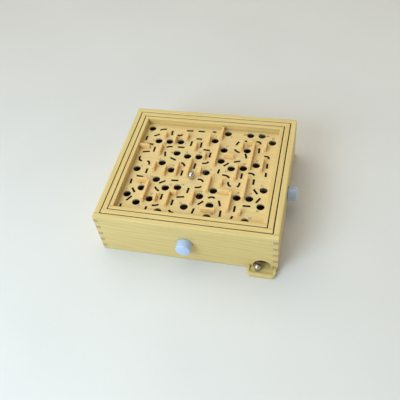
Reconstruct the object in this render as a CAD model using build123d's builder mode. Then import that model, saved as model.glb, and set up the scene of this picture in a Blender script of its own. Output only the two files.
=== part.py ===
"""Tilt maze game: a finger-jointed wooden case, two nested tilting frames, and two knob shafts with cords.

Millimetres. The origin is the middle of the case's underside, +X points right, -Y to the player, +Z up.
Each frame hangs on two pins. The outer frame tilts about X and follows the side knob. The tray tilts
about Y inside the outer frame and follows the front knob. A ball that drops through the maze board rolls
down the sloped return floor, out of the arch in the front wall, and into the catch tray.
"""

from build123d import *
import math
import os

os.makedirs("parts", exist_ok=True)

# ---- case ----
case_length = 325.0  # along X
case_depth = 288.0  # along Y
case_height = 95.0
case_wall = 10.0
finger_count = 11
end_finger_share = 0.66  # the lowest and the highest finger, as a share of the others' height
edge_round = 1.2
base_thick = 4.0

# ---- tilting frames ----
swing_gap = 1.8  # between the case and the outer frame, and between the outer frame and the tray
outer_rail_width = 9.0
tray_rail_width = 6.9
rail_height = 20.0
rail_round = 0.8
board_thick = 4.0
board_below_pins = 1.0  # from the pivot pins down to the board's face
board_groove = 2.5

# ---- pivot pins of the frames ----
pivot_dia = 4.0
pivot_seat = 7.0  # length held in the carrying piece
pivot_reach = 5.0  # length running in the carried rail
pivot_end_gap = 0.5
running_gap = 0.05  # radial, for every turning fit

# ---- maze ----
column_count = 12
column_margin = 10.9  # from the tray's side rail to the middle of the outermost holes
hole_dia = 14.5
strip_width = 4.5
strip_height = 9.0
# the rows and strip ends below are drawn for a playing field of these half sizes
drawn_field_x = 133.0
drawn_field_y = 114.5
# the y of each hole, column by column from the left
hole_rows = [
    [100.5, -11, -74],
    [67, -56, -90.5],
    [68, 10, -32.5, -79.5],
    [69.5, 38.5, -6, -50.5, -106],
    [33, -46.5],
    [34, -89],
    [80.5, -4, -61.5],
    [103, 57.5, 28.5, -45.5, -79.5, -106],
    [12],
    [103.5, 61.5, 15.5, -56],
    [104.5, 26, -55, -106],
    [88, -32.5, -70.5],
]
# lengthwise strips stand midway between two hole columns: columns on their left, then each (front, back) end
strip_lines = {
    2: [(-88, -42), (-14, 4), (30, 53), (76, 86)],
    3: [(-86, -72), (-22, -2), (62, 82)],
    4: [(-92, -64), (-20, 7), (74, 90)],
    5: [(-18, 22), (48, 66)],
    6: [(-84, -54), (-14, 2), (28, 42), (64, 90)],
    7: [(-50, -16), (14, 68), (84, 112)],
    8: [(-34, -22)],
    9: [(-90, -50), (-16, 18), (62, 78)],
    10: [(-95, -84), (-60, -8), (12, 78)],
    11: [(10, 40), (63, 82)],
}
# crosswise strips: y, then the left and right ends, counted in lines from the tray's left rail
# an end on a whole line stops short of the lengthwise strip there, and line 0 is the rail itself
cross_strips = [
    (78.5, 9.38, 10),
    (39.5, 7.62, 8.52),
    (46, 0, 0.95),
    (-41, 0.95, 2),
    (-48.5, 8.07, 9),
    (-62.5, 4, 4.65),
    (-93.5, 6.9, 8.07),
]
strip_gap = 0.3

# ---- balls ----
ball_dia = 12.7
ball_seat_gap = 0.3
board_ball_x = -13.0
board_ball_y = -20.0
returned_ball_left = 7.25  # from the catch tray's middle
returned_ball_front = 5.0  # from the case's front face

# ---- knobs and shafts ----
knob_dia = 27.0
knob_length = 18.0
knob_dome = 1.5
knob_edge_round = 2.5
knob_gap = 0.6  # between a knob and the case
shaft_dia = 5.0
shaft_in_knob = 12.0
front_shaft_z = 49.5
side_shaft_z = 43.0
bush_dia = 8.0
bush_flange_dia = 12.0
bush_flange_thick = 1.5
blind_bush_seat = 7.0
shaft_end_gap = 0.5
clip_dia = 9.0
clip_thick = 1.2
clip_gap = 0.3

# ---- cords, guides, springs ----
cord_dia = 1.2
cord_turns = 4
cord_offset = 14.0  # a cord's plane lies this far beside the other shaft
cord_bend = 4.0  # bend radius at a guide
cord_gap = 0.3
guide_width = 12.0
guide_slot = 3.0
guide_nose = 10.0  # from the riser cord to the guide's inner end
guide_back = 5.0  # solid wood left behind the slot
guide_above = 4.5
guide_below = 8.0
guide_clearance = 0.1
eye_ring = 2.0
eye_wire = 0.6
eye_shank = 6.0
spring_dia = 4.6
spring_wire = 0.8
spring_coils = 22
spring_start = 4.5  # from the cord's plane to the spring

# ---- ball return ----
arch_width = 31.0
arch_top = 27.0
arch_margin = 1.75  # wood between the arch and the right wall
catch_width = 50.5
catch_reach = 18.0
catch_height = 10.0
catch_rim = 4.0
catch_corner = 8.0
catch_floor_z = 6.5
return_thick = 3.0
return_exit_z = 8.0
return_slope_x = 0.05
return_slope_y = 0.05
support_width = 8.0
support_end_gap = 20.0

# ---- worked out ----
inner_x = case_length / 2 - case_wall
inner_y = case_depth / 2 - case_wall
outer_x = inner_x - swing_gap
outer_y = inner_y - swing_gap
tray_x = outer_x - outer_rail_width - swing_gap
tray_y = outer_y - outer_rail_width - swing_gap
field_x = tray_x - tray_rail_width
field_y = tray_y - tray_rail_width
rail_bottom = case_height - rail_height
pivot_z = case_height - rail_height / 2
board_top = pivot_z - pivot_dia / 2 - board_below_pins
board_bottom = board_top - board_thick
finger_height = case_height / (finger_count - 2 + 2 * end_finger_share)
column_pitch = 2 * (field_x - column_margin) / (column_count - 1)
wrap_radius = shaft_dia / 2 + cord_dia / 2
catch_x = inner_x - arch_margin - arch_width / 2
arch_spring_z = arch_top - arch_width / 2
tray_riser = tray_x - tray_rail_width / 2
outer_riser = outer_y - outer_rail_width / 2
eye_z = rail_bottom - eye_ring - 2 * eye_wire
front_cord_z = front_shaft_z - wrap_radius
side_cord_z = side_shaft_z - wrap_radius
guide_pin_radius = cord_bend - cord_dia / 2 - guide_clearance


def column_x(column):
    """The x of a column of holes."""
    return (column - (column_count - 1) / 2) * column_pitch


def across_field(x):
    """The x in this field of an x in the drawn field."""
    return x * field_x / drawn_field_x


def along_field(y):
    """The y in this field of a y in the drawn field."""
    return y * field_y / drawn_field_y


def line_x(line):
    """The x of a line of lengthwise strips."""
    return column_x(line - 0.5)


def strip_end(line, facing):
    """The x of a crosswise strip's end: facing is 1 for its left end and -1 for its right end."""
    if line == 0:
        return -field_x
    if line == int(line):
        return line_x(line) + facing * (strip_width / 2 + strip_gap)
    return line_x(line)


def save(piece, label):
    """Name a finished piece and write it as one node."""
    piece.part.label = label
    export_step(piece.part, f"parts/{label}.step")


def long_top_edges(piece, axis):
    """The edges of the highest face that run along the axis."""
    return piece.faces().sort_by(Axis.Z)[-1].edges().filter_by(axis)


# ======== case ========


def wall_profile(inner_width, first_finger):
    """A wall's outline, standing on the sketch's X axis, with every second finger reaching the corner."""
    with Locations((0, case_height / 2)):
        Rectangle(inner_width, case_height)
    for level in range(first_finger, finger_count, 2):
        bottom = max(0, (level - 1 + end_finger_share) * finger_height)
        top = min(case_height, (level + end_finger_share) * finger_height)
        with Locations((0, (bottom + top) / 2)):
            Rectangle(inner_width + 2 * case_wall, top - bottom)


def round_seat(plane, diameter, depth):
    """Cut a round hole into the wall in hand, from the plane along its normal."""
    with BuildSketch(plane) as seat:
        Circle(diameter / 2)
    extrude(seat.sketch, amount=depth, mode=Mode.SUBTRACT)


front_plane = Plane(origin=(0, -inner_y, 0), x_dir=(1, 0, 0), z_dir=(0, -1, 0))
back_plane = Plane(origin=(0, inner_y, 0), x_dir=(-1, 0, 0), z_dir=(0, 1, 0))
left_plane = Plane(origin=(-inner_x, 0, 0), x_dir=(0, -1, 0), z_dir=(-1, 0, 0))
right_plane = Plane(origin=(inner_x, 0, 0), x_dir=(0, 1, 0), z_dir=(1, 0, 0))


def on_wall(plane, height):
    """The wall's inner plane, with its origin lifted to a height above the table."""
    return Plane(origin=plane.origin + Vector(0, 0, height), x_dir=plane.x_dir, z_dir=plane.z_dir)


with BuildPart() as front_wall:
    with BuildSketch(front_plane):
        wall_profile(2 * inner_x, 0)
    extrude(amount=case_wall)
    fillet(long_top_edges(front_wall, Axis.X), radius=edge_round)
    round_seat(on_wall(front_plane, front_shaft_z), bush_dia, case_wall)
    with BuildSketch(front_plane):
        with Locations((catch_x, arch_spring_z / 2)):
            Rectangle(arch_width, arch_spring_z)
        with Locations((catch_x, arch_spring_z)):
            Circle(arch_width / 2)
    extrude(amount=case_wall, mode=Mode.SUBTRACT)
save(front_wall, "front_wall")

with BuildPart() as back_wall:
    with BuildSketch(back_plane):
        wall_profile(2 * inner_x, 0)
    extrude(amount=case_wall)
    fillet(long_top_edges(back_wall, Axis.X), radius=edge_round)
    round_seat(on_wall(back_plane, front_shaft_z), bush_dia, blind_bush_seat)
save(back_wall, "back_wall")

for side, plane, bush_depth in (("left", left_plane, blind_bush_seat), ("right", right_plane, case_wall)):
    with BuildPart() as side_wall:
        with BuildSketch(plane):
            wall_profile(2 * inner_y, 1)
        extrude(amount=case_wall)
        fillet(long_top_edges(side_wall, Axis.Y), radius=edge_round)
        round_seat(on_wall(plane, side_shaft_z), bush_dia, bush_depth)
        round_seat(on_wall(plane, pivot_z), pivot_dia, pivot_seat)
    save(side_wall, f"{side}_wall")

with BuildPart() as base_board:
    with BuildSketch(Plane.XY):
        Rectangle(2 * inner_x, 2 * inner_y)
    extrude(amount=base_thick)
save(base_board, "base_board")

# ======== ball return ========

return_normal = (return_slope_x, -return_slope_y, 1)
return_top = Plane(origin=(catch_x, -inner_y, return_exit_z), z_dir=return_normal)
return_under = Plane(origin=(catch_x, -inner_y, return_exit_z - return_thick), z_dir=return_normal)

with BuildPart() as return_floor:
    with BuildSketch(Plane.XY.offset(base_thick)):
        Rectangle(2 * inner_x, 2 * inner_y)
    extrude(amount=case_height / 2)
    split(bisect_by=return_top, keep=Keep.BOTTOM)
    split(bisect_by=return_under, keep=Keep.TOP)
save(return_floor, "return_floor")

with BuildPart() as floor_supports:
    with BuildSketch(Plane.XY.offset(base_thick)):
        with GridLocations(inner_x - support_end_gap, 0, 3, 1):
            Rectangle(support_width, 2 * (inner_y - support_end_gap))
    extrude(amount=case_height / 2)
    split(bisect_by=return_under, keep=Keep.BOTTOM)
save(floor_supports, "floor_supports")

catch_front = -case_depth / 2 - catch_reach

with BuildPart() as catch_tray:
    with BuildSketch(Plane.XY):
        with Locations((catch_x, (catch_front - case_depth / 2) / 2)):
            tab = Rectangle(catch_width, catch_reach)
        fillet(tab.vertices().sort_by(Axis.Y)[:2], radius=catch_corner)
    extrude(amount=catch_height)
    with BuildSketch(Plane.XY.offset(catch_floor_z)):
        with Locations((catch_x, (catch_front + catch_rim - case_depth / 2) / 2)):
            pocket = Rectangle(catch_width - 2 * catch_rim, catch_reach - catch_rim)
        fillet(pocket.vertices().sort_by(Axis.Y)[:2], radius=catch_corner - catch_rim)
    extrude(amount=catch_height - catch_floor_z, mode=Mode.SUBTRACT)
    # the tongue fills the foot of the arch and meets the return floor
    with BuildSketch(Plane.XY):
        with Locations((catch_x, -case_depth / 2 + case_wall / 2)):
            Rectangle(arch_width, case_wall)
    extrude(amount=catch_floor_z)
save(catch_tray, "catch_tray")

# ======== tilting frames ========


def frame_rail(half_length, middle, width, along, pin_holes, groove=None, eye_spots=()):
    """A rail whose top is level with the case, with its pin holes, its board groove and its screw-eye holes."""
    length_x, length_y = (2 * half_length, width) if along == Axis.X else (width, 2 * half_length)
    with BuildPart() as rail:
        with BuildSketch(Plane.XY.offset(rail_bottom)):
            with Locations(middle):
                Rectangle(length_x, length_y)
        extrude(amount=rail_height)
        fillet(long_top_edges(rail, along), radius=rail_round)
        for plane, radius, depth in pin_holes:
            with BuildSketch(plane):
                Circle(radius)
            extrude(amount=depth, mode=Mode.SUBTRACT)
        if groove:
            with BuildSketch(Plane.XY.offset(board_bottom)):
                Rectangle(*groove)
            extrude(amount=board_thick, mode=Mode.SUBTRACT)
        if eye_spots:
            with BuildSketch(Plane.XY.offset(rail_bottom)):
                with Locations(*eye_spots):
                    Circle(eye_wire)
            extrude(amount=eye_shank, mode=Mode.SUBTRACT)
    return rail


def pin_plane(direction, distance):
    """A plane across a pivot pin's axis, facing outward along a horizontal direction from the middle."""
    outward = Vector(*direction)
    return Plane(origin=outward * distance + Vector(0, 0, pivot_z), z_dir=outward)


def inward(plane):
    """The same plane, facing back to the middle."""
    return Plane(origin=plane.origin, z_dir=plane.z_dir * -1)


pivot_bore = pivot_dia / 2 + running_gap
bore_depth = pivot_reach + pivot_end_gap
spring_length = spring_coils * spring_wire
spring_anchor = spring_start + spring_length + cord_gap + eye_ring + eye_wire

front = (0, -1, 0)
back = (0, 1, 0)
left = (-1, 0, 0)
right = (1, 0, 0)

outer_eyes = [(cord_offset, side * outer_riser) for side in (-1, 1)]
outer_eyes.append((cord_offset + spring_anchor, outer_riser))
tray_eyes = [(side * tray_riser, cord_offset) for side in (-1, 1)]
tray_eyes.append((tray_riser, cord_offset + spring_anchor))

for name, direction, side in (("front", front, -1), ("back", back, 1)):
    outer_rail = frame_rail(
        outer_x,
        (0, side * outer_riser),
        outer_rail_width,
        Axis.X,
        [(pin_plane(direction, tray_y + swing_gap), pivot_dia / 2, pivot_seat)],
        eye_spots=[spot for spot in outer_eyes if spot[1] * side > 0],
    )
    save(outer_rail, f"outer_frame_{name}_rail")
    tray_rail = frame_rail(
        tray_x,
        (0, side * (tray_y - tray_rail_width / 2)),
        tray_rail_width,
        Axis.X,
        [(inward(pin_plane(direction, tray_y)), pivot_bore, bore_depth)],
        groove=(2 * (field_x + board_groove), 2 * (field_y + board_groove)),
    )
    save(tray_rail, f"tray_{name}_rail")

for name, direction, side in (("left", left, -1), ("right", right, 1)):
    outer_rail = frame_rail(
        outer_y - outer_rail_width,
        (side * (outer_x - outer_rail_width / 2), 0),
        outer_rail_width,
        Axis.Y,
        [(inward(pin_plane(direction, outer_x)), pivot_bore, bore_depth)],
    )
    save(outer_rail, f"outer_frame_{name}_rail")
    tray_rail = frame_rail(
        field_y,
        (side * tray_riser, 0),
        tray_rail_width,
        Axis.Y,
        [],
        groove=(2 * (field_x + board_groove), 2 * (field_y + board_groove)),
        eye_spots=[spot for spot in tray_eyes if spot[0] * side > 0],
    )
    save(tray_rail, f"tray_{name}_rail")


def pivot_pins(directions, bored_face):
    """Two headless pins, each held outside the bored rail's face and running in its hole."""
    with BuildPart() as pins:
        for direction in directions:
            with BuildSketch(pin_plane(direction, bored_face - pivot_reach)):
                Circle(pivot_dia / 2)
            extrude(amount=pivot_reach + swing_gap + pivot_seat)
    return pins


save(pivot_pins((left, right), outer_x), "outer_frame_pivot_pins")
save(pivot_pins((front, back), tray_y), "tray_pivot_pins")

# ======== maze ========

with BuildPart() as maze_board:
    with BuildSketch(Plane.XY.offset(board_bottom)):
        Rectangle(2 * (field_x + board_groove), 2 * (field_y + board_groove))
        for column, rows in enumerate(hole_rows):
            with Locations(*[(column_x(column), along_field(row)) for row in rows]):
                Circle(hole_dia / 2, mode=Mode.SUBTRACT)
    extrude(amount=board_thick)
save(maze_board, "maze_board")

for line, spans in strip_lines.items():
    with BuildPart() as strips:
        with BuildSketch(Plane.XY.offset(board_top)):
            for near_end, far_end in spans:
                with Locations((line_x(line), along_field((near_end + far_end) / 2))):
                    Rectangle(strip_width, along_field(far_end - near_end))
        extrude(amount=strip_height)
    save(strips, f"maze_strips_line_{line}")

with BuildPart() as crosswise_strips:
    with BuildSketch(Plane.XY.offset(board_top)):
        for row, left_line, right_line in cross_strips:
            left_end = strip_end(left_line, 1)
            right_end = strip_end(right_line, -1)
            with Locations(((left_end + right_end) / 2, along_field(row))):
                Rectangle(right_end - left_end, strip_width)
    extrude(amount=strip_height)
save(crosswise_strips, "maze_strips_crosswise")

# ======== balls ========

ball_rise = ball_dia / 2 + ball_seat_gap
returned_ball_y = -case_depth / 2 - returned_ball_front
ball_spots = {
    "board_ball": (across_field(board_ball_x), along_field(board_ball_y), board_top + ball_rise),
    "returned_ball": (catch_x - returned_ball_left, returned_ball_y, catch_floor_z + ball_rise),
}
for label, spot in ball_spots.items():
    with BuildPart(Plane(origin=spot)) as ball:
        Sphere(ball_dia / 2)
    save(ball, label)

# ======== knobs and shafts ========


def ring_profile(inner_radius, outer_radius, start, end):
    """Half the section of a turned piece: radius along the sketch's X, the shaft's length along its Y."""
    with Locations(((inner_radius + outer_radius) / 2, (start + end) / 2)):
        Rectangle(outer_radius - inner_radius, end - start)


def turned(plane, sections):
    """A turned piece about the shaft's axis, from (inner radius, outer radius, start, end) sections."""
    with BuildPart() as piece:
        with BuildSketch(plane):
            for section in sections:
                ring_profile(*section)
        revolve(axis=Axis(plane.origin, plane.y_dir))
    return piece


# each shaft's plane holds its axis as local Y, pointing out to the knob, with the origin over the case's middle
shaft_radius = shaft_dia / 2
face_radius = knob_dia / 2 - knob_edge_round
dome_radius = (face_radius**2 + knob_dome**2) / (2 * knob_dome)
half_angle = math.asin(face_radius / dome_radius) / 2
arc_middle = knob_edge_round * math.sin(math.radians(45))
bush_bore = shaft_radius + running_gap
drives = {
    "front": (Plane(origin=(0, 0, front_shaft_z), x_dir=(1, 0, 0), z_dir=(0, 0, -1)), inner_y, -cord_offset),
    "side": (Plane(origin=(0, 0, side_shaft_z), x_dir=(0, 1, 0), z_dir=(0, 0, -1)), inner_x, cord_offset),
}
for name, (plane, half_inner, winding_middle) in drives.items():
    outside = half_inner + case_wall
    knob_start = outside + knob_gap
    knob_end = knob_start + knob_length
    flange_face = half_inner - bush_flange_thick

    with BuildPart() as knob:
        with BuildSketch(plane):
            with BuildLine():
                rim = knob_end - knob_dome
                Line((0, knob_start + shaft_in_knob), (shaft_radius, knob_start + shaft_in_knob))
                Line((shaft_radius, knob_start + shaft_in_knob), (shaft_radius, knob_start))
                Line((shaft_radius, knob_start), (knob_dia / 2, knob_start))
                Line((knob_dia / 2, knob_start), (knob_dia / 2, rim - knob_edge_round))
                ThreePointArc(
                    (knob_dia / 2, rim - knob_edge_round),
                    (face_radius + arc_middle, rim - knob_edge_round + arc_middle),
                    (face_radius, rim),
                )
                ThreePointArc(
                    (face_radius, rim),
                    (dome_radius * math.sin(half_angle), knob_end - dome_radius * (1 - math.cos(half_angle))),
                    (0, knob_end),
                )
                Line((0, knob_end), (0, knob_start + shaft_in_knob))
            make_face()
        revolve(axis=Axis(plane.origin, plane.y_dir))
    save(knob, f"{name}_knob")

    shaft_start = -(half_inner + blind_bush_seat - shaft_end_gap)
    save(turned(plane, [(0, shaft_radius, shaft_start, knob_start + shaft_in_knob)]), f"{name}_shaft")

    clip_end = flange_face - clip_gap
    save(turned(plane, [(shaft_radius, clip_dia / 2, clip_end - clip_thick, clip_end)]), f"{name}_shaft_clip")

    with BuildPart() as winding:
        with BuildSketch(plane):
            half_width = cord_turns * cord_dia / 2
            ring_profile(shaft_radius, wrap_radius, winding_middle - half_width, winding_middle + half_width)
            with Locations((wrap_radius, winding_middle)):
                with GridLocations(0, cord_dia, 1, cord_turns):
                    Circle(cord_dia / 2)
        revolve(axis=Axis(plane.origin, plane.y_dir))
    save(winding, f"{name}_cord_winding")

    tube = (bush_bore, bush_dia / 2, half_inner, outside)
    flange = (bush_bore, bush_flange_dia / 2, flange_face, half_inner)
    save(turned(plane, [tube, flange]), f"{name}_knob_bush")

    far_tube = (bush_bore, bush_dia / 2, -half_inner - blind_bush_seat, -half_inner)
    far_flange = (bush_bore, bush_flange_dia / 2, -half_inner, -flange_face)
    save(turned(plane, [far_tube, far_flange]), f"{name}_shaft_far_bush")

# ======== cords, guides, anchors and springs ========


def cord_plane(across, side):
    """A cord's upright plane: local X runs outward from its shaft, local Y is the height above the table."""
    if across == "tray":
        return Plane(origin=(0, cord_offset, 0), x_dir=(side, 0, 0), z_dir=(0, -side, 0))
    return Plane(origin=(cord_offset, 0, 0), x_dir=(0, side, 0), z_dir=(side, 0, 0))


def guide_bracket(plane, riser, run_z, wall):
    """A wooden block on the case's wall with a slot for the cord and a seat for its guide pin."""
    pin_x = riser - cord_bend
    pin_height = run_z + cord_bend
    inner_end = riser - guide_nose
    slot_end = wall - guide_back
    bottom = run_z - guide_below
    top = pin_height + guide_above
    with BuildPart() as bracket:
        with BuildSketch(plane):
            with Locations(((inner_end + wall) / 2, (bottom + top) / 2)):
                Rectangle(wall - inner_end, top - bottom)
        extrude(amount=guide_width / 2, both=True)
        with BuildSketch(plane):
            with Locations(((inner_end + slot_end) / 2, (bottom + top) / 2)):
                Rectangle(slot_end - inner_end, top - bottom)
        extrude(amount=guide_slot / 2, both=True, mode=Mode.SUBTRACT)
        with BuildSketch(plane):
            with Locations((pin_x, pin_height)):
                Circle(guide_pin_radius)
        extrude(amount=guide_width / 2, both=True, mode=Mode.SUBTRACT)
    return bracket


def cord_tube(plane, riser, run_z):
    """One half of a cord: from its winding level along the case, round the guide pin and up to its screw eye."""
    start = (math.sqrt((shaft_radius + cord_dia) ** 2 - shaft_radius**2) + cord_gap, run_z)
    corner = (riser, run_z)
    end = (riser, eye_z - eye_ring - eye_wire - cord_gap)
    with BuildPart() as cord:
        with BuildLine(plane) as route:
            FilletPolyline(start, corner, end, radius=cord_bend)
        with BuildSketch(Plane(origin=route.line @ 0, z_dir=route.line % 0)):
            Circle(cord_dia / 2)
        sweep(path=route.line)
    length = sum(edge.length for edge in route.edges())
    print(f"cord length {length:.1f}, volume ratio {cord.part.volume / (length * math.pi * cord_dia**2 / 4):.4f}")
    return cord


cord_lines = {
    "tray": (tray_riser, front_cord_z, inner_x, (("left", -1), ("right", 1))),
    "outer_frame": (outer_riser, side_cord_z, inner_y, (("front", -1), ("back", 1))),
}
for across, (riser, run_z, wall, sides) in cord_lines.items():
    for name, side in sides:
        plane = cord_plane(across, side)
        save(guide_bracket(plane, riser, run_z, wall), f"{name}_cord_guide")
        save(cord_tube(plane, riser, run_z), f"{across}_cord_{name}")

with BuildPart() as guide_pins:
    for across, (riser, run_z, wall, sides) in cord_lines.items():
        for name, side in sides:
            with BuildSketch(cord_plane(across, side)):
                with Locations((riser - cord_bend, run_z + cord_bend)):
                    Circle(guide_pin_radius)
            extrude(amount=guide_width / 2, both=True)
save(guide_pins, "cord_guide_pins")


def screw_eyes(spots, ring_normal, ring_across):
    """Screw eyes under a frame: a wire ring below the rail and a shank in it."""
    with BuildPart() as eyes:
        with BuildSketch(Plane.XY.offset(eye_z + eye_ring)):
            with Locations(*spots):
                Circle(eye_wire)
        extrude(amount=rail_bottom - eye_z - eye_ring + eye_shank)
        for x, y in spots:
            with BuildSketch(Plane(origin=(x, y, eye_z), x_dir=ring_across, z_dir=(0, 0, 1))):
                with Locations((eye_ring, 0)):
                    Circle(eye_wire)
            revolve(axis=Axis((x, y, eye_z), ring_normal))
    return eyes


def tension_spring(origin, direction):
    """A close-wound spring as a tube with a rounded ridge for each coil."""
    plane = Plane(origin=origin, x_dir=(0, 0, 1), z_dir=Vector(0, 0, 1).cross(Vector(*direction)))
    middle_radius = spring_dia / 2 - spring_wire / 2
    with BuildPart() as spring:
        with BuildSketch(plane):
            ring_profile(middle_radius - spring_wire / 2, middle_radius, spring_start, spring_start + spring_length)
            with Locations((middle_radius, spring_start + spring_length / 2)):
                with GridLocations(0, spring_wire, 1, spring_coils):
                    Circle(spring_wire / 2)
        revolve(axis=Axis(plane.origin, plane.y_dir))
    return spring


along_x = (1, 0, 0)
along_y = (0, 1, 0)
save(screw_eyes(outer_eyes, along_x, along_y), "outer_frame_screw_eyes")
save(screw_eyes(tray_eyes, along_y, along_x), "tray_screw_eyes")
save(tension_spring((cord_offset, outer_riser, eye_z), along_x), "outer_frame_spring")
save(tension_spring((tray_riser, cord_offset, eye_z), along_y), "tray_spring")

print(f"knob turns per unit of tilt: front {tray_riser / wrap_radius:.3f}, side {outer_riser / wrap_radius:.3f}")
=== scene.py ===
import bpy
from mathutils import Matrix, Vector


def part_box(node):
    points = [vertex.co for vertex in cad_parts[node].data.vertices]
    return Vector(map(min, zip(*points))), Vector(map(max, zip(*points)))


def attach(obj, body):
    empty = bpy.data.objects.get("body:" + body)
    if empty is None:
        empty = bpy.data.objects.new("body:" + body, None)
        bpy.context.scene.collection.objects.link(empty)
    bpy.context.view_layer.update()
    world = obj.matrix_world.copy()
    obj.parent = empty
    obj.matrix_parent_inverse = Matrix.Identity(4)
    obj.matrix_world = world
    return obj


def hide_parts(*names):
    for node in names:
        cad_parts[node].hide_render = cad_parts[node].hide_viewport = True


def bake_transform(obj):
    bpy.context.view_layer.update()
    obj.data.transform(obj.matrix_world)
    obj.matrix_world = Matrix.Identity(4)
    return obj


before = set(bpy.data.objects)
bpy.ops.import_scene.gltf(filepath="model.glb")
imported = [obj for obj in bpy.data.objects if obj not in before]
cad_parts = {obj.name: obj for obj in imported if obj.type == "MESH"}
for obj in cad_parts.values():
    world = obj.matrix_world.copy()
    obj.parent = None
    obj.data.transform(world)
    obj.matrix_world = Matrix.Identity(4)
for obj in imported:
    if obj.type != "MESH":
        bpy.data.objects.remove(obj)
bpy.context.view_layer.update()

"""The looks of a tilt maze game: birch case and frames, printed board, enamelled knobs, chrome balls."""

import math

import bpy
from mathutils import Vector

MM = 0.001
X, Y = 0, 1

# ---- camera ----
VIEW_AZIMUTH = math.radians(19.0)
VIEW_ELEVATION = math.radians(50.2)
VIEW_ROLL = math.radians(-8.4)
VIEW_DISTANCE = 0.964
VIEW_TARGET = Vector((0.004, -0.041, 0.045))
LENS = 46.4
SENSOR = 36.0

# ---- studio ----
FLOOR_SIZE = 60.0
FLOOR_LEVEL = -0.0002
BACKDROP_RADIUS = 9.0
BACKDROP_HEIGHT = 3.6
BACKDROP_MIDDLE = 1.7
BACKDROP_GLOW = 0.2
AIR_STRENGTH = 0.3
KEY_POWER = 25.5
KEY_PLACE = (-0.8, -1.3, 1.1)
TOP_POWER = 1.62
TOP_PLACE = (-0.5, 0.4, 1.5)
LIT_POINT = Vector((0.0, 0.0, 0.05))

# ---- board print ----
PRINT_THICK = 0.12 * MM
PRINT_SINK = 0.02 * MM
DASH_WIDTH = 3.9 * MM
NUMBER_SIZE = 6.0 * MM
NUMBER_REACH = 11.0 * MM
COLUMN_MARGIN = 10.9 * MM
BOARD_GROOVE = 2.5 * MM
BEND_SHARE = 0.4  # how much of a bent dash's arms its rounded corner takes
DASH_GROWTH = 0.7 * MM  # how far the ink runs past each end of a dash's line

# ---- cords ----
CORD_LEAD = 1.6 * MM  # how far above its guide block a tray cord is cut into its level run and its upright riser

# ---- wood ----
# how far in from an edge the painted highlight reaches
EDGE_HIGHLIGHT_REACH = 1.6 * MM
# how far the painted shade in gaps and corners reaches
HOLLOW_SHADE_REACH = 6.0 * MM

# each dash of the route from start to finish, in millimetres from the board's middle
ROUTE = [
    [(2, 104.5), (8, 104.5)], [(-27, 103), (-15, 103)], [(-50.5, 101.5), (-38.5, 102.5)],
    [(-57.5, 89.5), (-61, 84.5), (-65.5, 87)], [(-77.5, 86), (-79.5, 89), (-79, 97.5)],
    [(-93, 101), (-102, 101), (-105, 97)], [(-104, 85.5), (-107, 82), (-113, 80)],
    [(-127, 77), (-127, 66.5)], [(-121, 57), (-109, 55.5)], [(-103, 49), (-102.5, 37)],
    [(-111, 36), (-123.5, 33)], [(-125.5, 20.5), (-126, 10.5), (-119, 9.5)],
    [(-107.5, 10.5), (-102.5, 9.5), (-102, 2)], [(-102, -9.5), (-102, -20)],
    [(-105, -30), (-117, -29)], [(-124.5, -38.5), (-123.5, -49)], [(-116.5, -59.5), (-109.5, -68.5)],
    [(-112, -79), (-118.5, -89)], [(-125.5, -99), (-126, -107)], [(-119, -110), (-107, -110)],
    [(-98, -110), (-86, -110)], [(-78.5, -107), (-78, -98.5)], [(-68.5, -94), (-61, -94), (-58, -90.5)],
    [(-57, -78.5), (-57, -66.5)], [(-66, -59.5), (-71, -57), (-75, -51.5)], [(-69.5, -41), (-60, -34.5)],
    [(-48.5, -31.5), (-36.5, -30.5)], [(-34, -17.5), (-34, -5.5)], [(-33, 6.5), (-35, 12), (-41, 14.5)],
    [(-54, 19.5), (-65, 24.5)], [(-76.5, 27.5), (-79, 33), (-79, 38.5)], [(-79, 51), (-77, 54), (-69, 54)],
    [(-57.5, 54.5), (-45.5, 55)], [(-34, 61), (-33.5, 73)], [(-26, 81.5), (-16, 81.5)],
    [(-14, 72), (-13.5, 59.5)], [(-6, 53.5), (5.5, 53)], [(9, 47), (9, 35)], [(9.5, 23), (8, 18), (-1, 18)],
    [(-13.5, 15.5), (-14, 3)], [(-14, -6), (-14, -13)], [(-0.5, -22.5), (8, -22), (10, -27.5)],
    [(9, -39), (6, -42.5), (-1.5, -42.5)], [(-12.5, -45.5), (-13, -57)], [(-16.5, -67), (-29, -69.5)],
    [(-34.5, -77), (-34.5, -88.5)], [(-35.5, -100.5), (-33, -105), (-27, -105)], [(-17, -109), (-5, -109)],
    [(6, -101.5), (7.5, -91)], [(12.5, -80.5), (20, -72.5)], [(28, -63.5), (33, -58.5), (38.5, -62.5)],
    [(47.5, -67.5), (52, -78.5)], [(55, -89), (55.5, -101.5)], [(60, -109), (70, -109)],
    [(75.5, -103), (77.5, -98)], [(78, -87.5), (78, -75.5)], [(91.5, -72.5), (104, -72)],
    [(113, -62), (118.5, -52)], [(112, -42.5), (104.5, -33)], [(101.5, -21.5), (101.5, -9.5)],
    [(100, 0.5), (98, 5), (89, 4.5)], [(77.5, 2), (77.5, -10)], [(77, -21), (77, -27), (74.5, -31)],
    [(62, -31), (56.5, -30), (56, -22)], [(55.5, -11.5), (52, -6), (42.5, -6)], [(33, -3), (34, 6.5)],
    [(40.5, 16.5), (48, 24.5)], [(58, 29), (68.5, 32.5)], [(78.5, 41.5), (78, 48), (75, 52)],
    [(63.5, 55), (56, 57), (53.5, 61.5)], [(54.5, 74), (55.5, 79), (58, 83)], [(69.5, 86.5), (79.5, 86.5)],
    [(92, 87.5), (99, 88), (100, 82)], [(99.5, 70), (100, 58)], [(112, 50.5), (120, 51.5), (120.5, 45.5)],
    [(120, 31.5), (120.5, 21)], [(120.5, 9), (121, 0)],
]

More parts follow.
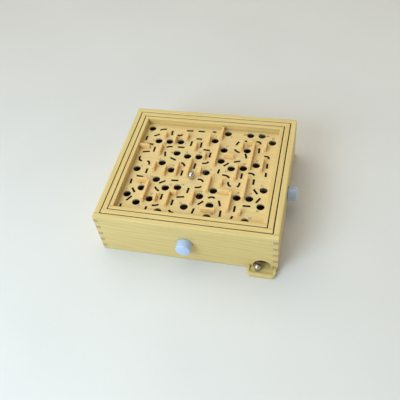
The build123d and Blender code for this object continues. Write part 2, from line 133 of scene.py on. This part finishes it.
# the holes' rows, column by column from the left, as the board is drilled
HOLE_ROWS = [
    [100.5, -11, -74],
    [67, -56, -90.5],
    [68, 10, -32.5, -79.5],
    [69.5, 38.5, -6, -50.5, -106],
    [33, -46.5],
    [34, -89],
    [80.5, -4, -61.5],
    [103, 57.5, 28.5, -45.5, -79.5, -106],
    [12],
    [103.5, 61.5, 15.5, -56],
    [104.5, 26, -55, -106],
    [88, -32.5, -70.5],
]

WALLS = {"front_wall": X, "back_wall": X, "left_wall": Y, "right_wall": Y}
RAILS = {
    "outer_frame_front_rail": X,
    "outer_frame_back_rail": X,
    "outer_frame_left_rail": Y,
    "outer_frame_right_rail": Y,
    "tray_front_rail": X,
    "tray_back_rail": X,
    "tray_left_rail": Y,
    "tray_right_rail": Y,
}
LENGTHWISE_STRIPS = [f"maze_strips_line_{line}" for line in range(2, 12)]


# ======== small tools ========


def node(tree, kind, inputs=(), **settings):
    """A shader node with its settings, its inputs filled by a value or a link."""
    made = tree.nodes.new(kind)
    for key, value in settings.items():
        setattr(made, key, value)
    for key, value in dict(inputs).items():
        if isinstance(value, bpy.types.NodeSocket):
            tree.links.new(value, made.inputs[key])
        else:
            made.inputs[key].default_value = value
    return made


def maths(tree, operation, first, second=0.0, third=0.0):
    """The result of a Math node."""
    made = node(tree, "ShaderNodeMath", {0: first, 1: second, 2: third}, operation=operation)
    return made.outputs[0]


def blend_colours(tree, amount, first, second):
    """The result of a colour Mix node."""
    inputs = {"Factor": amount, 6: first, 7: second}
    made = node(tree, "ShaderNodeMix", inputs, data_type="RGBA")
    return made.outputs[2]


def blank_material(name):
    """A new material with its node tree and its shader."""
    material = bpy.data.materials.new(name)
    material.use_nodes = True
    tree = material.node_tree
    return material, tree, tree.nodes["Principled BSDF"]


def object_place(tree, scale):
    """Object coordinates, stretched by a scale along each axis."""
    place = node(tree, "ShaderNodeTexCoord")
    inputs = {"Vector": place.outputs["Object"], "Scale": scale}
    return node(tree, "ShaderNodeMapping", inputs).outputs[0]


def noise(tree, scale, size=1.0, detail=4.0, roughness=0.55):
    """A noise pattern on stretched object coordinates."""
    inputs = {"Vector": object_place(tree, scale), "Scale": size, "Detail": detail, "Roughness": roughness}
    return node(tree, "ShaderNodeTexNoise", inputs).outputs[0]


def ramp(tree, value, low, high):
    """A value spread to 0 at low and 1 at high."""
    return node(tree, "ShaderNodeMapRange", {0: value, 1: low, 2: high}).outputs[0]


def along(axis, lengthwise, across):
    """A scale that is one number along an axis and another across it."""
    scale = [across, across, across]
    scale[axis] = lengthwise
    return scale


def grain_end(tree, axis):
    """1 on faces that look along the grain, 0 elsewhere."""
    place = node(tree, "ShaderNodeTexCoord")
    parts = node(tree, "ShaderNodeSeparateXYZ", {0: place.outputs["Normal"]})
    facing = maths(tree, "ABSOLUTE", parts.outputs[axis])
    return maths(tree, "GREATER_THAN", facing, 0.8)


def upright_face(tree):
    """Most of 1 on a piece's upright faces, 0 on its flat ones, wavering with the figure of the wood: where
    a painted warm bounce light goes.
    """
    place = node(tree, "ShaderNodeTexCoord")
    parts = node(tree, "ShaderNodeSeparateXYZ", {0: place.outputs["Normal"]})
    upright = maths(tree, "LESS_THAN", maths(tree, "ABSOLUTE", parts.outputs[2]), 0.5)
    waver = noise(tree, (90.0, 90.0, 90.0), detail=2.0)
    return maths(tree, "MULTIPLY", upright, maths(tree, "MULTIPLY_ADD", waver, 0.4, 0.5))


def worn_edge(tree, radius):
    """0 on flat faces, rising to 1 along sharp edges, where a painted highlight goes, with the rounded
    normal.
    """
    bevel = node(tree, "ShaderNodeBevel", {"Radius": radius}, samples=4)
    geometry = node(tree, "ShaderNodeNewGeometry")
    inputs = {0: bevel.outputs[0], 1: geometry.outputs["Normal"]}
    dot = node(tree, "ShaderNodeVectorMath", inputs, operation="DOT_PRODUCT")
    return ramp(tree, dot.outputs["Value"], 0.995, 0.85), bevel.outputs[0]


def dusty_hollow(tree, colour):
    """A colour darkened towards near black in narrow gaps and deep corners: painted shade."""
    open_air = node(tree, "ShaderNodeAmbientOcclusion", {"Distance": HOLLOW_SHADE_REACH}, samples=6)
    closed = ramp(tree, open_air.outputs["AO"], 0.5, 0.12)
    # painted shade: the more closed in a spot is, the more its colour goes to near black
    return blend_colours(tree, maths(tree, "MULTIPLY", closed, 0.85), colour, (0.05, 0.025, 0.012, 1.0))


def finish_with_bump(tree, shader, height, strength, depth, normal=None):
    """Give the shader a bump from a height pattern."""
    inputs = {"Height": height, "Strength": strength, "Distance": depth}
    if normal:
        inputs["Normal"] = normal
    bump = node(tree, "ShaderNodeBump", inputs)
    tree.links.new(bump.outputs[0], shader.inputs["Normal"])


# ======== materials ========


def planed_wood(name, axis, pale, deep, end_tone, gloss=0.42, ring_size=70.0, painted_bounce_tone=None):
    """Lacquered light wood with its grain along one axis, darker end grain, painted highlights along the
    edges that also stand for light edge wear, painted shade in gaps and corners, and on request a painted
    warm bounce light on its upright faces.
    """
    material, tree, shader = blank_material(name)
    fibre = noise(tree, along(axis, 35.0, 900.0), detail=5.0, roughness=0.7)
    streak = noise(tree, along(axis, 6.0, 130.0), detail=3.0)
    blotch = noise(tree, along(axis, 9.0, 22.0), detail=2.0)
    ring_inputs = {
        "Vector": object_place(tree, along(axis, 0.06, 1.0)),
        "Scale": ring_size,
        "Distortion": 5.0,
        "Detail": 2.0,
        "Detail Scale": 1.4,
    }
    rings = node(tree, "ShaderNodeTexWave", ring_inputs, wave_type="BANDS", bands_direction="DIAGONAL")
    figure = maths(tree, "MULTIPLY", rings.outputs["Fac"], 0.22)
    figure = maths(tree, "MULTIPLY_ADD", fibre, 0.38, figure)
    figure = maths(tree, "MULTIPLY_ADD", streak, 0.45, figure)
    figure = maths(tree, "MULTIPLY_ADD", blotch, 0.3, figure)
    colour = blend_colours(tree, ramp(tree, figure, 0.35, 0.95), pale, deep)
    end_rings = noise(tree, (260.0, 260.0, 260.0), detail=3.0)
    end_colour = blend_colours(tree, ramp(tree, end_rings, 0.3, 0.75), end_tone, deep)
    colour = blend_colours(tree, grain_end(tree, axis), colour, end_colour)
    # painted light: upright faces turn a warmer, brighter tone, as if lit by light bounced off the board
    if painted_bounce_tone:
        colour = blend_colours(tree, upright_face(tree), colour, painted_bounce_tone)
    edge, rounded = worn_edge(tree, EDGE_HIGHLIGHT_REACH)
    # painted highlight: a paler copy of the wood's tone along its edges, also standing for light wear
    painted_edge_highlight = [min(1.0, part * gain) for part, gain in zip(pale, (1.25, 1.35, 1.8))] + [1.0]
    colour = blend_colours(tree, maths(tree, "MULTIPLY", edge, 0.9), colour, painted_edge_highlight)
    # painted shade in the wood's gaps and corners
    colour = dusty_hollow(tree, colour)
    tree.links.new(colour, shader.inputs["Base Color"])
    tree.links.new(maths(tree, "MULTIPLY_ADD", fibre, 0.2, gloss - 0.1), shader.inputs["Roughness"])
    shader.inputs["Specular IOR Level"].default_value = 0.4
    finish_with_bump(tree, shader, fibre, 0.25, 0.15 * MM, rounded)
    return material


def enamel(name, tone, shade_tone):
    """Smooth pale enamel with a faint mottle, fine scuffs and a soft gloss."""
    material, tree, shader = blank_material(name)
    mottle = noise(tree, (60.0, 60.0, 60.0), detail=3.0)
    scuff = noise(tree, (900.0, 900.0, 120.0), detail=4.0, roughness=0.7)
    colour = blend_colours(tree, ramp(tree, mottle, 0.3, 0.8), tone, shade_tone)
    edge, rounded = worn_edge(tree, 0.5 * MM)
    # painted highlight: the enamel pales towards blue-white along its edges
    colour = blend_colours(tree, maths(tree, "MULTIPLY", edge, 0.3), colour, (0.9, 0.92, 0.95, 1.0))
    tree.links.new(colour, shader.inputs["Base Color"])
    tree.links.new(ramp(tree, scuff, -0.6, 2.6), shader.inputs["Roughness"])
    shader.inputs["Coat Weight"].default_value = 0.3
    shader.inputs["Coat Roughness"].default_value = 0.15
    finish_with_bump(tree, shader, scuff, 0.08, 0.05 * MM, rounded)
    return material


def bright_metal(name, tone, shine, scratch):
    """Polished or drawn metal with fine scratches."""
    material, tree, shader = blank_material(name)
    lines = noise(tree, scratch, detail=4.0, roughness=0.65)
    haze = noise(tree, (120.0, 120.0, 120.0), detail=2.0)
    darker = [part * 0.8 for part in tone[:3]] + [1.0]
    colour = blend_colours(tree, ramp(tree, haze, 0.35, 0.8), tone, darker)
    tree.links.new(colour, shader.inputs["Base Color"])
    rough = maths(tree, "MULTIPLY_ADD", lines, shine, shine * 0.5)
    tree.links.new(rough, shader.inputs["Roughness"])
    shader.inputs["Metallic"].default_value = 1.0
    finish_with_bump(tree, shader, lines, 0.05, 0.03 * MM)
    return material


def moulded_nylon(name):
    """Milky moulded nylon."""
    material, tree, shader = blank_material(name)
    cloud = noise(tree, (150.0, 150.0, 150.0), detail=3.0)
    clear, milky = (0.78, 0.76, 0.68, 1.0), (0.66, 0.64, 0.56, 1.0)
    colour = blend_colours(tree, ramp(tree, cloud, 0.3, 0.8), clear, milky)
    tree.links.new(colour, shader.inputs["Base Color"])
    tree.links.new(ramp(tree, cloud, -0.8, 2.0), shader.inputs["Roughness"])
    shader.inputs["Subsurface Weight"].default_value = 0.1
    shader.inputs["Subsurface Scale"].default_value = 0.001
    finish_with_bump(tree, shader, cloud, 0.08, 0.05 * MM)
    return material


def twisted_thread(name):
    """Dark braided thread with its strands showing."""
    material, tree, shader = blank_material(name)
    inputs = {"Vector": object_place(tree, (1.0, 1.0, 1.0)), "Scale": 420.0, "Distortion": 1.0}
    strands = node(tree, "ShaderNodeTexWave", inputs, wave_type="BANDS", bands_direction="DIAGONAL")
    fuzz = noise(tree, (2500.0, 2500.0, 2500.0), detail=3.0)
    colour = blend_colours(tree, strands.outputs["Fac"], (0.05, 0.05, 0.055, 1.0), (0.16, 0.155, 0.15, 1.0))
    colour = blend_colours(tree, maths(tree, "MULTIPLY", fuzz, 0.3), colour, (0.3, 0.29, 0.27, 1.0))
    tree.links.new(colour, shader.inputs["Base Color"])
    tree.links.new(ramp(tree, fuzz, -1.5, 1.0), shader.inputs["Roughness"])
    shader.inputs["Sheen Weight"].default_value = 0.3
    finish_with_bump(tree, shader, strands.outputs["Fac"], 0.6, 0.2 * MM)
    return material


def printed_ink(name, tone, thin_tone):
    """Screen-printed ink, a little thinner here and there, where the wood's fibres show."""
    material, tree, shader = blank_material(name)
    cover = noise(tree, (900.0, 260.0, 900.0), detail=4.0, roughness=0.65)
    colour = blend_colours(tree, ramp(tree, cover, 0.5, 0.85), tone, thin_tone)
    tree.links.new(colour, shader.inputs["Base Color"])
    tree.links.new(ramp(tree, cover, -1.6, 1.2), shader.inputs["Roughness"])
    shader.inputs["Specular IOR Level"].default_value = 0.15
    finish_with_bump(tree, shader, cover, 0.1, 0.05 * MM)
    return material


def pressed_board(name, tone, fleck_tone):
    """Hardboard of the return floor, with pressed fibres, given near-black tones as painted shade so the
    holes look dark.
    """
    material, tree, shader = blank_material(name)
    felt = noise(tree, (260.0, 260.0, 260.0), detail=6.0, roughness=0.7)
    cloud = noise(tree, (22.0, 22.0, 22.0), detail=2.0)
    mixed = maths(tree, "MULTIPLY_ADD", cloud, 0.5, maths(tree, "MULTIPLY", felt, 0.6))
    colour = blend_colours(tree, ramp(tree, mixed, 0.35, 0.75), tone, fleck_tone)
    tree.links.new(colour, shader.inputs["Base Color"])
    tree.links.new(ramp(tree, felt, -1.0, 1.2), shader.inputs["Roughness"])
    finish_with_bump(tree, shader, felt, 0.3, 0.1 * MM)
    return material


def paint(nodes, material):
    """Put a material on CAD nodes."""
    for name in nodes:
        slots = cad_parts[name].data.materials
        slots.clear()
        slots.append(material)


def paint_cad_nodes():
    """Give every CAD node its finish."""
    case_pale = (0.76, 0.60, 0.25, 1.0)
    case_deep = (0.64, 0.46, 0.16, 1.0)
    case_end = (0.40, 0.26, 0.12, 1.0)
    rail_pale = (0.77, 0.58, 0.23, 1.0)
    rail_deep = (0.66, 0.45, 0.15, 1.0)
    for axis, word in ((X, "crosswise"), (Y, "lengthwise")):
        case = planed_wood(f"case_birch_{word}", axis, case_pale, case_deep, case_end)
        paint([name for name, grain in WALLS.items() if grain == axis], case)
        rail = planed_wood(f"rail_birch_{word}", axis, rail_pale, rail_deep, case_end)
        paint([name for name, grain in RAILS.items() if grain == axis], rail)
    strip_pale = (0.84, 0.60, 0.25, 1.0)
    strip_deep = (0.76, 0.47, 0.16, 1.0)
    strip_end = (0.62, 0.36, 0.13, 1.0)
    # painted warm bounce light for the strips' upright faces
    strip_painted_bounce = (1.0, 0.62, 0.24, 1.0)
    for axis, nodes in ((Y, LENGTHWISE_STRIPS), (X, ["maze_strips_crosswise"])):
        name = f"strip_beech_{'XY'[axis]}"
        paint(nodes, planed_wood(name, axis, strip_pale, strip_deep, strip_end, painted_bounce_tone=strip_painted_bounce))
    board_pale = (0.77, 0.59, 0.27, 1.0)
    board_deep = (0.68, 0.49, 0.2, 1.0)
    board_end = (0.3, 0.17, 0.08, 1.0)
    paint(["maze_board"], planed_wood("board_birch_ply", X, board_pale, board_deep, board_end, 0.45))
    paint(["catch_tray"], planed_wood("catch_tray_birch", X, case_pale, case_deep, (0.55, 0.38, 0.17, 1.0)))
    pine_pale = (0.62, 0.44, 0.24, 1.0)
    pine_deep = (0.5, 0.33, 0.16, 1.0)
    pine_end = (0.34, 0.22, 0.1, 1.0)
    inner = planed_wood("inner_pine", X, pine_pale, pine_deep, pine_end, 0.6)
    paint(["base_board", "floor_supports"], inner)
    paint([f"{side}_cord_guide" for side in ("left", "right", "front", "back")], inner)
    # painted shade: the return floor is near black so the holes in the board look dark
    hardboard = pressed_board("hardboard_painted_shade", (0.05, 0.03, 0.02, 1.0), (0.11, 0.065, 0.04, 1.0))
    paint(["return_floor"], hardboard)
    knob_blue = enamel("pale_blue_enamel", (0.49, 0.62, 0.84, 1.0), (0.43, 0.56, 0.80, 1.0))
    paint(["front_knob", "side_knob"], knob_blue)
    chrome = bright_metal("ball_chrome", (0.62, 0.59, 0.57, 1.0), 0.07, (300.0, 300.0, 300.0))
    paint(["board_ball", "returned_ball"], chrome)
    steel = bright_metal("drawn_steel", (0.62, 0.62, 0.60, 1.0), 0.35, (700.0, 700.0, 90.0))
    paint(
        [
            "front_shaft",
            "side_shaft",
            "front_shaft_clip",
            "side_shaft_clip",
            "outer_frame_pivot_pins",
            "tray_pivot_pins",
            "cord_guide_pins",
            "outer_frame_screw_eyes",
            "tray_screw_eyes",
            "outer_frame_spring",
            "tray_spring",
        ],
        steel,
    )
    bushes = ["front_knob_bush", "side_knob_bush", "front_shaft_far_bush", "side_shaft_far_bush"]
    paint(bushes, moulded_nylon("milky_nylon"))
    cords = ["tray_cord_left", "tray_cord_right", "outer_frame_cord_front", "outer_frame_cord_back"]
    paint(cords + ["front_cord_winding", "side_cord_winding"], twisted_thread("dark_thread"))


# ======== board print ========

board_low, board_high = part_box("maze_board")
board_middle = (board_low + board_high) / 2
board_face = board_high.z


def leave_all():
    """Deselect everything."""
    bpy.ops.object.select_all(action="DESELECT")


def settle(piece):
    """Put a piece's place, turn and size into its mesh."""
    leave_all()
    piece.select_set(True)
    bpy.context.view_layer.objects.active = piece
    bpy.ops.object.transform_apply(location=True, rotation=True, scale=True)


def on_board(x, y):
    """A point on the board's face, from millimetres to the right of and behind its middle."""
    return Vector((board_middle.x + x * MM, board_middle.y + y * MM, board_face))


def new_curve(name, splines, cyclic=False):
    """A curve object of open or closed splines, three or more points making a smooth bend."""
    curve = bpy.data.curves.new(name, "CURVE")
    curve.dimensions = "3D"
    curve.resolution_u = 5
    for points in splines:
        smooth = len(points) > 2 and not cyclic
        spline = curve.splines.new("NURBS" if smooth else "POLY")
        spline.points.add(len(points) - 1)
        for spot, point in zip(spline.points, points):
            spot.co = (*point, 1.0)
        spline.use_cyclic_u = cyclic
        if smooth:
            spline.order_u = 3
            spline.use_endpoint_u = True
    made = bpy.data.objects.new(name, curve)
    bpy.context.scene.collection.objects.link(made)
    return made


def turn_to_mesh(piece):
    """Make a curve or text object a mesh."""
    leave_all()
    piece.select_set(True)
    bpy.context.view_layer.objects.active = piece
    bpy.ops.object.convert(target="MESH")
    return bpy.context.object


def joined(parts, name):
    """Join parts into one piece."""
    leave_all()
    for part in parts:
        part.select_set(True)
    bpy.context.view_layer.objects.active = parts[0]
    bpy.ops.object.join()
    parts[0].name = name
    return parts[0]


def dash_line(dash):
    """A dash's control points: its two ends, and two points near its corner where it has one."""
    points = [on_board(x, y) for x, y in dash]
    points[0] = points[0] + (points[0] - points[1]).normalized() * DASH_GROWTH
    points[-1] = points[-1] + (points[-1] - points[-2]).normalized() * DASH_GROWTH
    if len(points) == 3:
        start, corner, end = points
        points = [start, corner.lerp(start, BEND_SHARE), corner.lerp(end, BEND_SHARE), end]
    return points


def route_dashes():
    """The printed dashes: a flat bar's section swept along each dash's line."""
    half_width = DASH_WIDTH / 2
    half_thick = (PRINT_THICK + PRINT_SINK) / 2
    corners = [(-half_width, -half_thick, 0.0), (half_width, -half_thick, 0.0)]
    corners += [(half_width, half_thick, 0.0), (-half_width, half_thick, 0.0)]
    section = new_curve("dash_section", [corners], cyclic=True)
    lift = Vector((0.0, 0.0, (PRINT_THICK - PRINT_SINK) / 2))
    dashes = new_curve("route_dashes", [[point + lift for point in dash_line(dash)] for dash in ROUTE])
    dashes.data.twist_mode = "Z_UP"
    dashes.data.bevel_mode = "OBJECT"
    dashes.data.bevel_object = section
    dashes.data.use_fill_caps = True
    dashes = turn_to_mesh(dashes)
    bpy.data.objects.remove(section)
    return dashes


def hole_middles():
    """The middles of the board's holes, in the order in which the route passes them."""
    half_field = (board_high.x - board_low.x) / 2 - BOARD_GROOVE
    pitch = 2 * (half_field - COLUMN_MARGIN) / (len(HOLE_ROWS) - 1)
    first = board_middle.x - half_field + COLUMN_MARGIN
    spots = []
    for column, rows in enumerate(HOLE_ROWS):
        for row in rows:
            spots.append(Vector((first + column * pitch, board_middle.y + row * MM, board_face)))
    dash_middles = [on_board(*dash[len(dash) // 2]) for dash in ROUTE]

    def place_on_route(spot):
        return min(range(len(ROUTE)), key=lambda dash: (dash_middles[dash] - spot).length)

    return sorted(spots, key=place_on_route)


def strip_boxes():
    """The rectangle that each maze strip covers, as (left, right, front, back)."""
    boxes = []
    for name in LENGTHWISE_STRIPS:
        low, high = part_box(name)
        ends = sorted({round(vertex.co.y, 5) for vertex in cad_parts[name].data.vertices})
        for near_end, far_end in zip(ends[::2], ends[1::2]):
            boxes.append((low.x, high.x, near_end, far_end))
    return boxes


def number_spots(holes):
    """A free spot on the board beside each hole."""
    taken = strip_boxes()
    dash_points = [on_board(x, y) for dash in ROUTE for x, y in dash]
    low = board_low + Vector((BOARD_GROOVE, BOARD_GROOVE, 0.0))
    high = board_high - Vector((BOARD_GROOVE, BOARD_GROOVE, 0.0))
    spots = []
    for hole in holes:
        best_room, best_spot = -1.0, None
        for turn in range(16):
            angle = turn * math.pi / 8
            spot = hole + Vector((math.cos(angle), math.sin(angle), 0.0)) * NUMBER_REACH
            room = [(spot - other).length - 7.25 * MM for other in holes if other != hole]
            room += [(spot - point).length - DASH_WIDTH / 2 for point in dash_points]
            room += [(spot - other).length - 3.0 * MM for other in spots]
            for left, right, front, back in taken:
                aside = max(left - spot.x, spot.x - right, 0.0)
                ahead = max(front - spot.y, spot.y - back, 0.0)
                room.append(math.hypot(aside, ahead))
            room += [spot.x - low.x, high.x - spot.x, spot.y - low.y, high.y - spot.y]
            if min(room) > best_room:
                best_room, best_spot = min(room), spot
        spots.append(best_spot)
    return spots


def hole_numbers():
    """A small printed number beside each hole."""
    numbers = []
    for count, spot in enumerate(number_spots(hole_middles()), start=1):
        leave_all()
        bpy.ops.object.text_add(location=(0.0, 0.0, 0.0))
        digits = bpy.context.object
        digits.data.body = str(count)
        digits.data.size = NUMBER_SIZE
        digits.data.align_x = "CENTER"
        digits.data.align_y = "CENTER"
        digits.data.resolution_u = 3
        digits.data.extrude = (PRINT_THICK + PRINT_SINK) / 2
        digits = turn_to_mesh(digits)
        digits.location = spot + Vector((0.0, 0.0, (PRINT_THICK - PRINT_SINK) / 2))
        settle(digits)
        numbers.append(digits)
    return joined(numbers, "hole_numbers")


def print_the_board():
    """The route and the numbers on the maze board."""
    ink = printed_ink("black_ink", (0.004, 0.0035, 0.0035, 1.0), (0.014, 0.012, 0.01, 1.0))
    grey_ink = printed_ink("grey_ink", (0.10, 0.085, 0.07, 1.0), (0.16, 0.13, 0.1, 1.0))
    for piece, colour in ((route_dashes(), ink), (hole_numbers(), grey_ink)):
        piece.data.materials.clear()
        piece.data.materials.append(colour)
        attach(piece, "tray")


# ======== cords copied from the CAD nodes =====


def cord_copy(node_name, piece_name):
    """A cord's own mesh as a new piece, with its doubled points merged."""
    piece = bpy.data.objects.new(piece_name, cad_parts[node_name].data.copy())
    bpy.context.scene.collection.objects.link(piece)
    leave_all()
    piece.select_set(True)
    bpy.context.view_layer.objects.active = piece
    bpy.ops.object.mode_set(mode="EDIT")
    bpy.ops.mesh.select_all(action="SELECT")
    bpy.ops.mesh.remove_doubles(threshold=0.000001)
    bpy.ops.object.mode_set(mode="OBJECT")
    return piece


def trimmed(piece, level, keep_above):
    """Cut a cord through at a height, close the cut, and keep one side of it."""
    leave_all()
    piece.select_set(True)
    bpy.context.view_layer.objects.active = piece
    bpy.ops.object.mode_set(mode="EDIT")
    bpy.ops.mesh.select_all(action="SELECT")
    bpy.ops.mesh.bisect(
        plane_co=(0.0, 0.0, level),
        plane_no=(0.0, 0.0, 1.0),
        use_fill=True,
        clear_inner=keep_above,
        clear_outer=not keep_above,
    )
    bpy.ops.object.mode_set(mode="OBJECT")
    return piece


def cords_on_the_frames():
    """Copies of the cords: each tray cord cut at its guide block into a level run that rides with the case
    and an upright riser, and the outer frame's cords copied whole; the risers and the outer frame's cords
    are attached to no body.
    """
    for side in ("front", "back"):
        name = f"outer_frame_cord_{side}"
        cord = cord_copy(name, f"{name}_line")
        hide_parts(name)
        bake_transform(cord)
    for side in ("left", "right"):
        name = f"tray_cord_{side}"
        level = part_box(f"{side}_cord_guide")[1].z + CORD_LEAD
        run = trimmed(cord_copy(name, f"{name}_run"), level, keep_above=False)
        riser = trimmed(cord_copy(name, f"{name}_riser"), level, keep_above=True)
        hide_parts(name)
        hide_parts(name)
        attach(run, "case")
        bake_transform(riser)


# ======== studio ========


def pale_matt(name, tone, shade_tone, cloud_size, roughness):
    """A matt pale finish with a faint cloud in it."""
    material, tree, shader = blank_material(name)
    cloud = noise(tree, (cloud_size, cloud_size, cloud_size), detail=2.0)
    colour = blend_colours(tree, ramp(tree, cloud, 0.3, 0.8), tone, shade_tone)
    tree.links.new(colour, shader.inputs["Base Color"])
    shader.inputs["Roughness"].default_value = roughness
    return material, shader


def floor_and_backdrop():
    """A wide pale floor with a pale round wall far behind it."""
    leave_all()
    bpy.ops.mesh.primitive_plane_add(size=FLOOR_SIZE, location=(0.0, 0.0, FLOOR_LEVEL))
    floor = bpy.context.object
    floor.name = "studio_floor"
    material, _ = pale_matt("pale_floor", (0.72, 0.71, 0.69, 1.0), (0.68, 0.67, 0.65, 1.0), 3.0, 0.8)
    floor.data.materials.append(material)

    leave_all()
    bpy.ops.mesh.primitive_cylinder_add(
        vertices=96,
        radius=BACKDROP_RADIUS,
        depth=BACKDROP_HEIGHT,
        end_fill_type="NOTHING",
        location=(0.0, 0.0, BACKDROP_MIDDLE),
    )
    backdrop = bpy.context.object
    backdrop.name = "studio_backdrop"
    material, shader = pale_matt("pale_backdrop", (0.78, 0.77, 0.75, 1.0), (0.74, 0.73, 0.71, 1.0), 0.3, 0.9)
    shader.inputs["Emission Color"].default_value = (1.0, 0.98, 0.95, 1.0)
    shader.inputs["Emission Strength"].default_value = BACKDROP_GLOW
    backdrop.data.materials.append(material)


def studio_lights():
    """A dim surround, a large cool lamp at the front left and a broad warm light from above."""
    world = bpy.data.worlds.new("studio_air")
    bpy.context.scene.world = world
    world.use_nodes = True
    air = world.node_tree.nodes["Background"]
    air.inputs["Color"].default_value = (0.84, 0.93, 1.0, 1.0)
    air.inputs["Strength"].default_value = AIR_STRENGTH

    key = bpy.data.lights.new("key_light", "AREA")
    key.size = 1.0
    key.energy = KEY_POWER
    key.color = (0.62, 0.82, 1.0)
    top = bpy.data.lights.new("top_light", "SUN")
    top.angle = math.radians(70.0)
    top.energy = TOP_POWER
    top.color = (1.0, 0.92, 0.72)
    for light, place in ((key, KEY_PLACE), (top, TOP_PLACE)):
        lamp = bpy.data.objects.new(light.name, light)
        lamp.location = place
        lamp.rotation_euler = (LIT_POINT - Vector(place)).to_track_quat("-Z", "Y").to_euler()
        bpy.context.scene.collection.objects.link(lamp)


def studio_camera():
    """The camera, aimed from its azimuth and elevation and then rolled."""
    away = Vector((
        math.sin(VIEW_AZIMUTH) * math.cos(VIEW_ELEVATION),
        -math.cos(VIEW_AZIMUTH) * math.cos(VIEW_ELEVATION),
        math.sin(VIEW_ELEVATION),
    ))
    level_right = (-away).cross(Vector((0.0, 0.0, 1.0))).normalized()
    level_up = level_right.cross(-away)
    right = level_right * math.cos(VIEW_ROLL) + level_up * math.sin(VIEW_ROLL)
    up = level_up * math.cos(VIEW_ROLL) - level_right * math.sin(VIEW_ROLL)
    camera_data = bpy.data.cameras.new("camera")
    camera_data.lens = LENS
    camera_data.sensor_width = SENSOR
    camera = bpy.data.objects.new("camera", camera_data)
    matrix = camera.matrix_world.to_3x3()
    matrix.col[0] = right
    matrix.col[1] = up
    matrix.col[2] = away
    camera.matrix_world = matrix.to_4x4()
    camera.location = VIEW_TARGET + away * VIEW_DISTANCE
    bpy.context.scene.collection.objects.link(camera)
    bpy.context.scene.camera = camera
    bpy.context.scene.view_settings.view_transform = "Standard"


paint_cad_nodes()
print_the_board()
cords_on_the_frames()
floor_and_backdrop()
studio_lights()
studio_camera()
